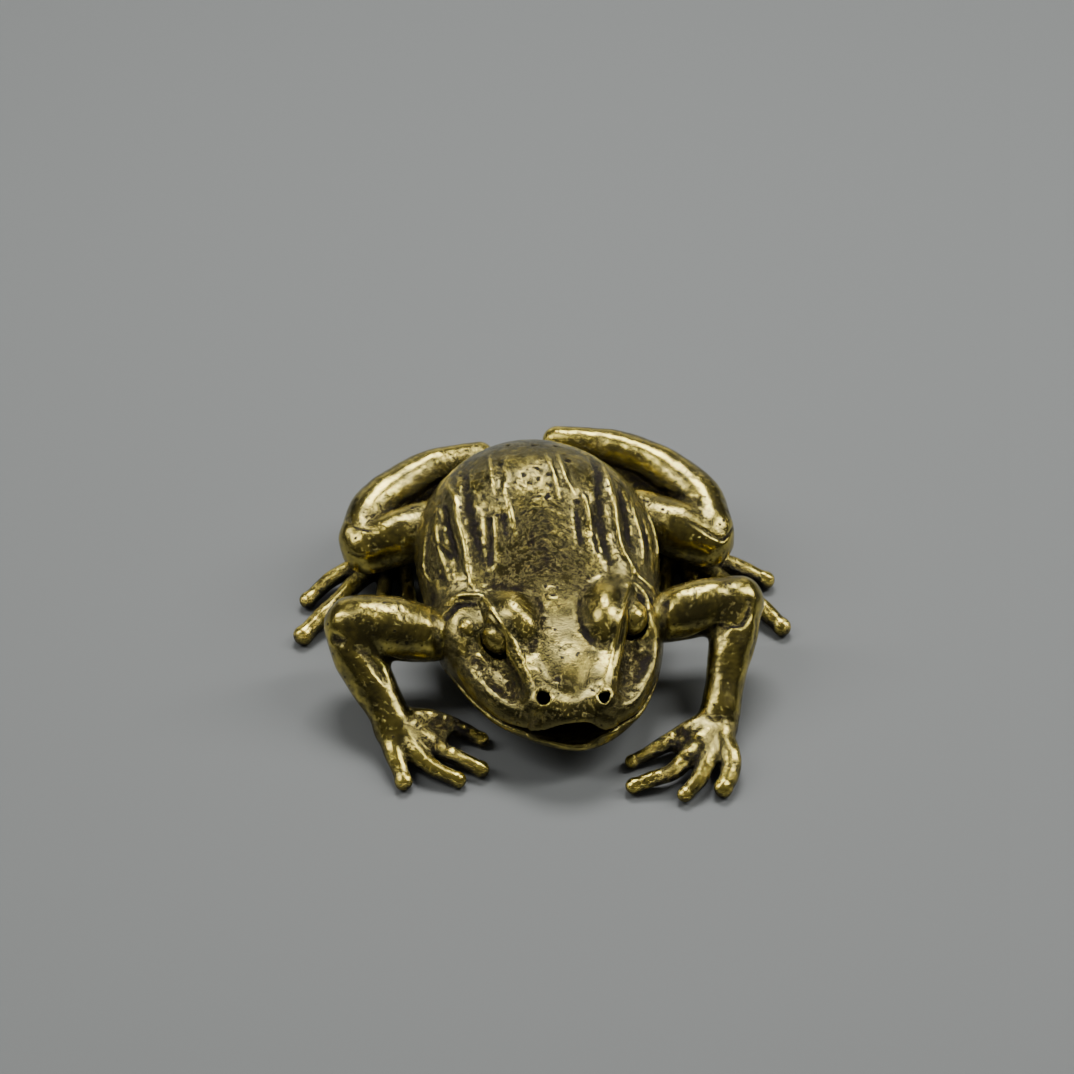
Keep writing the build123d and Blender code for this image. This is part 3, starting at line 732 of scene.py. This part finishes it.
def work_body(skin, has_eyes):
    """Folds, wrinkles, pits and cast roughness of a body casting."""
    for line, wide, high in BACK_RIDGES:
        skin.stroke(on_line(line), wide, high)
    for line, wide, deep, ink in BACK_VALLEYS:
        skin.stroke(on_line(line), wide, -deep, ink)
    for line, wide, high, ink in FACE_LINES:
        skin.stroke(line, wide, high, ink)
    if has_eyes:
        for edge in LID_EDGES.values():
            skin.stroke(skin.on_top(edge), 0.28, 0.26)
    for place, _, radius in NOSTRILS.values():
        skin.pit(place, 1.8 * radius, 0.04)
    for x, y, radius, depth in PITS:
        skin.pit(on_back(x, y), radius, depth)
    x, y, z = skin.points.T
    upper = rise(z, 8, 11)
    middle = np.exp(-((x - 0.3) / 3.2)**2 - ((y - 0.2) / 4.2)**2) * upper
    bent = np.stack([0.3 * x, y + 0.45 * np.abs(x), 0.3 * z], axis=1)
    folded = noise(bent, 0.55, 3)
    skin.lift += 0.06 * folded * middle
    skin.stain += 0.45 * middle * rise(folded, 0, -1)
    skin.wrinkle += middle + 0.35 * upper * rise(y, 6, 2) * rise(y, -8, -5)
    flank = rise(np.abs(x), 9.5, 11.5) * rise(y, -6, -3) * rise(z, 3, 5)
    streak = noise(skin.points * np.array([1, 0.35, 0.45]), 0.7, 11)
    streak += 0.6 * noise(skin.points * np.array([1, 0.5, 0.6]), 0.4, 12)
    skin.lift += 0.10 * streak * flank
    skin.stain += 0.8 * rise(streak, -0.15, -1.15) * flank
    mottled = noise(skin.points * np.array([1, 0.3, 0.3]), 0.5, 13)
    skin.stain += 0.5 * rise(mottled, 0.05, 1.05) * upper * rise(y, -6, -3)
    cheek = rise(z, 9.6, 8.4) * rise(y, -8, -10)
    snout = np.exp(-((x - 1.4) / 3.2)**4 - ((y + 16.2) / 4.6)**4) * rise(z, 6.6, 7.4)
    snout *= 0.5 + 0.5 * rise(np.abs(x - 1.4), 0, 2.5)
    # painted shade darkens and dulls the cheeks and, beside the patina streaks, the flanks; a painted
    # highlight lightens the snout's flat top towards the brows
    skin.stain += 0.25 * cheek + 0.25 * flank - 0.7 * snout
    skin.dullness += 0.8 * cheek
    crown = np.exp(-((x - 0.3) / 3.6)**2 - ((y - 7.0) / 3.6)**2) * upper
    skin.coarse += 0.55 * crown + 0.35 * flank
    # painted highlight: less stain on the crown of the back leaves its brass brighter
    skin.stain -= 0.3 * crown
    rough = np.maximum(rise(y, -9, -5), 0.12)
    rough *= 1 - 0.85 * rise(z, 11.2, 11.8) * rise(y, -3.5, -4.5)
    skin.roughen(3.0, 0.06, 21, rough)
    skin.roughen(0.8, 0.025, 22, rough)
    skin.roughen(0.4, 0.014, 23, rough)


def work_limb(skin, creases):
    """Folds and cast roughness of a limb, with painted shade darkening its sides low down."""
    for line, wide, high, ink in creases:
        skin.stroke(line, wide, high, ink)
    # painted shade: faces that do not look up are darkened near the floor
    low = rise(skin.points[:, 2], 5.0, 2.5)
    skin.stain += 3.0 * low * np.clip(0.85 - skin.normals[:, 2], 0, 0.6)
    skin.roughen(4.5, 0.16, 30)
    skin.roughen(2.0, 0.08, 31)
    skin.roughen(0.8, 0.025, 32)
    skin.roughen(0.4, 0.012, 33)


def field_at(clays, points):
    """Distance to the nearest casting at points, from the clay blocks."""
    nearest = np.full(len(points), FAR)
    for clay in clays:
        place = (points - clay.low) / clay.voxel
        size = np.array(clay.field.shape)
        inside = np.where(((place >= 0) & (place < size - 1.001)).all(1))[0]
        if not len(inside):
            continue
        cell = place[inside].astype(np.int64)
        part = place[inside] - cell
        total = np.zeros(len(inside))
        for corner in itertools.product((0, 1), repeat=3):
            weight = np.prod(np.where(np.array(corner) == 1, part, 1 - part), axis=1)
            i, j, k = (cell + corner).T
            total += weight * clay.field[i, j, k]
        nearest[inside] = np.minimum(nearest[inside], total)
    return nearest


def thinned(clay):
    """A lighter copy of a clay block, with every third voxel each way, for measuring shelter."""
    step = 3
    copy = Clay.__new__(Clay)
    copy.low, copy.voxel = clay.low, clay.voxel * step
    copy.field = clay.field[::step, ::step, ::step]
    return copy


def shelter(skin, clays):
    """How closed in each vertex is, from 0 in the open to 1 in a deep recess, over count ways out of it."""
    count = 12
    turns = np.arange(count) * math.pi * (3 - math.sqrt(5))
    heights = 0.25 + 0.7 * (np.arange(count) + 0.5) / count
    level = np.sqrt(1 - heights**2)
    tangent = np.cross(skin.normals, np.array([0.3, 0.5, 0.81]))
    tangent /= np.linalg.norm(tangent, axis=1, keepdims=True)
    second = np.cross(skin.normals, tangent)
    closed = np.zeros(len(skin.points))
    for turn, height, out in zip(turns, heights, level):
        way = height * skin.normals + out * (math.cos(turn) * tangent + math.sin(turn) * second)
        open_way = np.ones(len(skin.points))
        for reach in (0.5, 1.1, 2.0, 3.2):
            gap = field_at(clays, skin.points + way * reach)
            open_way = np.minimum(open_way, rise(gap, 0, 0.45 * reach))
        closed += (1 - open_way) * height
    return closed / heights.sum()


def edges_of(quads):
    """Each edge of the mesh once, as a pair of vertex numbers."""
    pairs = np.vstack([quads[:, [0, 1]], quads[:, [1, 2]], quads[:, [2, 3]], quads[:, [3, 0]]])
    pairs.sort(axis=1)
    keys = np.unique(pairs[:, 0] * (quads.max() + 1) + pairs[:, 1])
    return np.stack([keys // (quads.max() + 1), keys % (quads.max() + 1)], axis=1)


def hollow(skin, edges, rounds):
    """How far each vertex lies below its surroundings, in millimetres: negative on ridges."""
    around = relaxed(skin.points, edges, len(skin.points), rounds)
    return ((around - skin.points) * skin.normals).sum(1)


def finish_casting(name, skin, clays, slot, material):
    """Works out the patina and the painted shade, and makes the Blender piece that stands for a CAD node.

    Patina stays in hollows and under stains. Painted shade darkens faces that look down and the skin near the
    floor, and sheltered recesses get patina and painted shade together. Ridges are polished, and faces that
    look up get a little more polish.
    """
    edges = edges_of(skin.quads)
    fine, broad = hollow(skin, edges, 5), hollow(skin, edges, 45)
    closed = shelter(skin, clays)
    lean = skin.normals[:, 2]
    height = skin.points[:, 2]
    # stains darken it, and painted shade darkens faces that look down and the skin near the floor
    patina_and_shade = 0.08 + 0.5 * skin.stain + 0.5 * rise(lean, 0.3, -0.7) + 0.35 * np.exp(-height / 0.9)
    patina_and_shade += 0.2 * np.clip(fine / 0.03, -1, 1) + 0.22 * np.clip(broad / 0.18, -1, 1)
    patina_and_shade += 0.14 * noise(skin.points, 1.6, 41) + 0.12 * noise(skin.points, 0.7, 42)
    most = 0.8 if slot == "body_brass" else 1.0  # the body's open skin never turns quite black
    # sheltered recesses go dark: patina left in them, and painted shade where other parts shut out the light
    patina_and_shade = np.minimum(np.minimum(patina_and_shade, most) + 0.9 * rise(closed, 0.15, 1.15), 1.15)
    polish = 0.4 * rise(fine, 0, -0.03) + 0.5 * rise(broad, 0, -0.2) + 0.15 * rise(lean, 0.5, 1.5)
    polish *= 1 - np.clip(skin.dullness, 0, 0.9)
    coarse_cast = skin.coarse + 0.6 * skin.stain + 1.2 * rise(closed, 0.15, 1.15)
    layers = {"patina_and_shade": patina_and_shade, "polish": polish, "coarse": coarse_cast, "wrinkle": skin.wrinkle}
    mesh = bpy.data.meshes.new("cast_" + name)
    mesh.from_pydata(((skin.points + SHIFT) * MM).tolist(), [], skin.quads.tolist())
    for label, values in layers.items():
        layer = mesh.attributes.new(label, "FLOAT", "POINT")
        layer.data.foreach_set("value", np.clip(values, 0, 1.5).astype(np.float32))
    mesh.polygons.foreach_set("use_smooth", np.ones(len(mesh.polygons), bool))
    mesh.update()
    piece = bpy.data.objects.new("cast_" + name, mesh)
    bpy.context.scene.collection.objects.link(piece)
    mesh.materials.append(material)
    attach(piece, "root")
    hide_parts(name)


# ---- materials
def node(tree, kind, **values):
    """A shader node with its properties and inputs set."""
    made = tree.nodes.new(kind)
    for key, value in values.items():
        if hasattr(made, key):
            setattr(made, key, value)
        else:
            made.inputs[key.replace("_", " ")].default_value = value
    return made


def ramp(tree, factor, stops):
    """A colour ramp from (position, grey or colour) stops."""
    made = tree.nodes.new("ShaderNodeValToRGB")
    elements = made.color_ramp.elements
    while len(elements) < len(stops):
        elements.new(0.5)
    for element, (position, colour) in zip(elements, stops):
        element.position = position
        element.color = (*colour, 1) if isinstance(colour, tuple) else (colour, colour, colour, 1)
    tree.links.new(factor, made.inputs["Fac"])
    return made.outputs["Color"]


def maths(tree, operation, first, second, third=None):
    """A Math node on numbers and sockets."""
    made = tree.nodes.new("ShaderNodeMath")
    made.operation = operation
    for socket, value in zip(made.inputs, (first, second, third)):
        if value is None:
            continue
        if isinstance(value, (int, float)):
            socket.default_value = value
        else:
            tree.links.new(value, socket)
    return made.outputs[0]


def mix(tree, factor, first, second):
    """Mix of two colours."""
    made = tree.nodes.new("ShaderNodeMix")
    made.data_type = "RGBA"
    for socket, value in zip((made.inputs[0], made.inputs[6], made.inputs[7]), (factor, first, second)):
        if isinstance(value, tuple):
            socket.default_value = (*value, 1)
        else:
            tree.links.new(value, socket)
    return made.outputs[2]


def wrinkles(tree, place):
    """Fine wrinkles across the back, bent backwards on both sides of its middle: 0 to 1."""
    split = tree.nodes.new("ShaderNodeSeparateXYZ")
    tree.links.new(place, split.inputs[0])
    across, lengthwise, _ = split.outputs
    bent = maths(tree, "MULTIPLY_ADD", maths(tree, "ABSOLUTE", across, 0.0), 0.5, lengthwise)
    join = tree.nodes.new("ShaderNodeCombineXYZ")
    tree.links.new(maths(tree, "MULTIPLY", across, 0.22), join.inputs[0])
    tree.links.new(bent, join.inputs[1])
    made = node(tree, "ShaderNodeTexNoise", Scale=3000, Detail=2.0, Roughness=0.6, Distortion=0.3)
    tree.links.new(join.outputs[0], made.inputs["Vector"])
    return made.outputs["Fac"]


def pores(tree, place):
    """Scattered dark pores of the casting: 1 in a pore, 0 elsewhere."""
    thick = node(tree, "ShaderNodeTexNoise", Scale=260, Detail=1.0)
    tree.links.new(place, thick.inputs["Vector"])
    cells = node(tree, "ShaderNodeTexVoronoi", Scale=950, Randomness=1.0)
    tree.links.new(place, cells.inputs["Vector"])
    edge = maths(tree, "MULTIPLY_ADD", thick.outputs["Fac"], 0.62, -0.17)
    inside = maths(tree, "SUBTRACT", edge, cells.outputs["Distance"])
    return ramp(tree, inside, [(0.0, 0.0), (0.10, 0.9)])


def antique_brass(name, polished, olive, dark, wear):
    """Cast brass: bright where rubbed, olive where dulled, near black where the patina was left and where
    shade is painted.
    """
    material = bpy.data.materials.new(name)
    material.use_nodes = True
    tree = material.node_tree
    shader = tree.nodes["Principled BSDF"]
    place = tree.nodes.new("ShaderNodeTexCoord").outputs["Object"]

    def grain(scale, detail=3.0, rough=0.55):
        made = node(tree, "ShaderNodeTexNoise", Scale=scale, Detail=detail, Roughness=rough)
        tree.links.new(place, made.inputs["Vector"])
        return made.outputs["Fac"]

    def weight(label):
        return node(tree, "ShaderNodeAttribute", attribute_name=label).outputs["Fac"]

    def stirred(rest, texture, amount):
        """The rest, pushed up and down by a grain."""
        return maths(tree, "MULTIPLY_ADD", maths(tree, "SUBTRACT", texture, 0.5), amount, rest)

    patina_and_shade, polish, coarse, wrinkle = (weight(label) for label in ("patina_and_shade", "polish", "coarse", "wrinkle"))
    speckle, clouds, fine, blotch = grain(2100, 4.0, 0.7), grain(420), grain(7000, 2.0), grain(750)
    creased = wrinkles(tree, place)
    dots = pores(tree, place)
    broken = stirred(maths(tree, "MULTIPLY", patina_and_shade, 0.66), speckle, 1.9)
    broken = stirred(stirred(broken, blotch, 0.9), fine, 0.5)
    lined = maths(tree, "MULTIPLY", maths(tree, "SUBTRACT", creased, 0.42), wrinkle)
    broken = maths(tree, "MULTIPLY_ADD", lined, 1.6, broken)
    # the near-black mask follows both the patina and the painted shade
    mask = ramp(tree, broken, [(0.16 + wear, 0.0), (0.40 + wear, 0.4), (0.72 + wear, 1.0)])
    mask = maths(tree, "MAXIMUM", mask, dots)
    dull = stirred(maths(tree, "SUBTRACT", 0.80, polish), clouds, 1.2)
    dull = maths(tree, "MULTIPLY_ADD", patina_and_shade, 0.6, dull)
    brass = mix(tree, ramp(tree, dull, [(0.1, 0.0), (0.75, 1.0)]), polished, olive)
    colour = mix(tree, mask, brass, dark)
    tree.links.new(colour, shader.inputs["Base Color"])
    roughness = maths(tree, "MULTIPLY_ADD", mask, 0.04, maths(tree, "MULTIPLY_ADD", clouds, 0.15, 0.135))
    tree.links.new(roughness, shader.inputs["Roughness"])
    tree.links.new(maths(tree, "MULTIPLY_ADD", mask, -0.15, 1.0), shader.inputs["Metallic"])
    heavy = maths(tree, "MULTIPLY_ADD", coarse, 1.5, maths(tree, "MULTIPLY_ADD", mask, 1.6, 0.18))
    bumps = maths(tree, "ADD", maths(tree, "MULTIPLY", speckle, heavy), maths(tree, "MULTIPLY", fine, 0.18))
    bumps = maths(tree, "MULTIPLY_ADD", maths(tree, "MULTIPLY", creased, wrinkle), -0.5, bumps)
    bumps = maths(tree, "MULTIPLY_ADD", dots, -0.5, bumps)
    bump = node(tree, "ShaderNodeBump", Strength=0.8, Distance=0.00012)
    tree.links.new(bumps, bump.inputs["Height"])
    tree.links.new(bump.outputs["Normal"], shader.inputs["Normal"])
    return material


def plain_floor():
    """Pale matt table, with a little unevenness in its tone."""
    material = bpy.data.materials.new("pale_floor")
    material.use_nodes = True
    tree = material.node_tree
    shader = tree.nodes["Principled BSDF"]
    clouds = node(tree, "ShaderNodeTexNoise", Scale=3.0, Detail=2.0)
    colour = ramp(tree, clouds.outputs["Fac"], [(0.3, (0.24, 0.254, 0.256)), (0.7, (0.265, 0.279, 0.281))])
    tree.links.new(colour, shader.inputs["Base Color"])
    shader.inputs["Roughness"].default_value = 0.6
    mesh = bpy.data.meshes.new("floor")
    half = 1.6
    corners = [(-half, -half, 0), (half, -half, 0), (half, half, 0), (-half, half, 0)]
    mesh.from_pydata(corners, [], [(0, 1, 2, 3)])
    mesh.materials.append(material)
    floor = bpy.data.objects.new("floor", mesh)
    bpy.context.scene.collection.objects.link(floor)


def soft_light(name, place, size, power, colour):
    """A softbox of the given width and depth, aimed at the frog."""
    data = bpy.data.lights.new(name, "AREA")
    data.shape, data.energy, data.color = "RECTANGLE", power, colour
    data.size, data.size_y = size
    light = bpy.data.objects.new(name, data)
    light.location = place
    light.rotation_euler = (Vector((0, 0, 0.008)) - Vector(place)).to_track_quat("-Z", "Y").to_euler()
    bpy.context.scene.collection.objects.link(light)


def studio():
    """Soft studio light: a dim room and four softboxes."""
    world = bpy.data.worlds.new("studio")
    world.use_nodes = True
    tree = world.node_tree
    place = tree.nodes.new("ShaderNodeTexCoord").outputs["Generated"]
    split = tree.nodes.new("ShaderNodeSeparateXYZ")
    tree.links.new(place, split.inputs[0])
    colour = ramp(tree, maths(tree, "MULTIPLY_ADD", split.outputs["Z"], 0.5, 0.5),
                  [(0.45, 0.018), (0.60, 0.035), (0.85, 0.085), (1.0, 0.11)])
    tree.links.new(colour, tree.nodes["Background"].inputs["Color"])
    tree.nodes["Background"].inputs["Strength"].default_value = 1.0
    bpy.context.scene.world = world
    warm = (1.0, 0.99, 0.97)
    for side, power in ((-1, 0.44), (1, 0.62)):
        soft_light(f"side_light_{side}", (side * 0.25, 0.04, 0.27), (0.06, 0.26), power, (1.0, 0.985, 0.95))
    soft_light("rear_light", (0.0, 0.55, 0.15), (0.7, 0.2), 0.28, warm)
    soft_light("back_light", (0.02, 0.21, 0.36), (0.18, 0.10), 1.0, warm)


def camera():
    """The camera looks down at 45 degrees from a little to the frog's right of its front."""
    azimuth, elevation, distance = math.radians(-5), math.radians(45), 0.220
    target = Vector((-0.0006, -0.0035, 0.008)) + Vector(SHIFT) * MM
    level = math.cos(elevation)
    back = Vector((math.sin(azimuth) * level, -math.cos(azimuth) * level, math.sin(elevation)))
    data = bpy.data.cameras.new("camera")
    data.sensor_width = 36.0
    data.lens = 66.37
    data.shift_x, data.shift_y = -0.0028, 0.068  # the frog sits a little below the middle
    data.clip_start, data.clip_end = 0.01, 10
    made = bpy.data.objects.new("camera", data)
    made.location = target + back * distance
    made.rotation_euler = (-back).to_track_quat("-Z", "Y").to_euler()
    bpy.context.scene.collection.objects.link(made)
    bpy.context.scene.camera = made


# ---- the frog
camera()
studio()
plain_floor()

# DARK is the near-black colour of both the patina and the painted shade
POLISHED, OLIVE, DARK = (0.82, 0.67, 0.16), (0.20, 0.172, 0.064), (0.032, 0.026, 0.021)
BRASS = {
    "body_brass": antique_brass("body_brass", POLISHED, OLIVE, DARK, 0.0),
    "leg_brass": antique_brass("leg_brass", (0.82, 0.67, 0.15), (0.25, 0.212, 0.072), DARK, 0.12),
    "foot_brass": antique_brass("foot_brass", (0.80, 0.65, 0.15), (0.20, 0.17, 0.058), DARK, 0.0),
}

body = body_clay()
CLAYS = {
    "back_casting": part_at_seam(body, 1),
    "belly_casting": part_at_seam(body, -1),
    "right_foreleg": foreleg_clay(RIGHT_ARM, RIGHT_FOREARM, RIGHT_PALM, RIGHT_FINGERS,
                                  (-25.5, -23, -0.6), (-6.4, -1.0, 13.2)),
    "left_foreleg": foreleg_clay(LEFT_ARM, LEFT_FOREARM, LEFT_PALM, LEFT_FINGERS,
                                 (6.0, -27.5, -0.6), (25.2, -1.0, 13.2)),
    "right_hind_leg": hind_leg_clay(RIGHT_THIGH, RIGHT_SHANK, RIGHT_WEB, (-24, 5.0, 3.4), (-3.0, 25.0, 13.2)),
    "left_hind_leg": hind_leg_clay(LEFT_THIGH, LEFT_SHANK, LEFT_WEB, (1.2, 2.6, 3.4), (24.0, 26.0, 13.4)),
    "right_hind_foot": hind_foot_clay(RIGHT_INSTEP, RIGHT_TOES, (-29.5, 0.5, -0.6), (-6.5, 22.8, 8.8)),
    "left_hind_foot": hind_foot_clay(LEFT_INSTEP, LEFT_TOES, (5.5, -3.6, -0.6), (29.6, 23.8, 8.8)),
}
LIMB_LINES = {
    "right_foreleg": RIGHT_ARM_LINES, "left_foreleg": LEFT_ARM_LINES,
    "right_hind_leg": RIGHT_LEG_LINES, "left_hind_leg": LEFT_LEG_LINES,
    "right_hind_foot": [], "left_hind_foot": [],
}
SLOTS = {s["node"]: s["material_slot"] for s in frame["record"]["subparts"]}
around = [thinned(clay) for clay in CLAYS.values()]
for name, clay in CLAYS.items():
    skin = Skin(clay)
    if name in LIMB_LINES:
        work_limb(skin, LIMB_LINES[name])
    else:
        work_body(skin, name == "back_casting")
    skin.settle()
    finish_casting(name, skin, around, SLOTS[name], BRASS[SLOTS[name]])
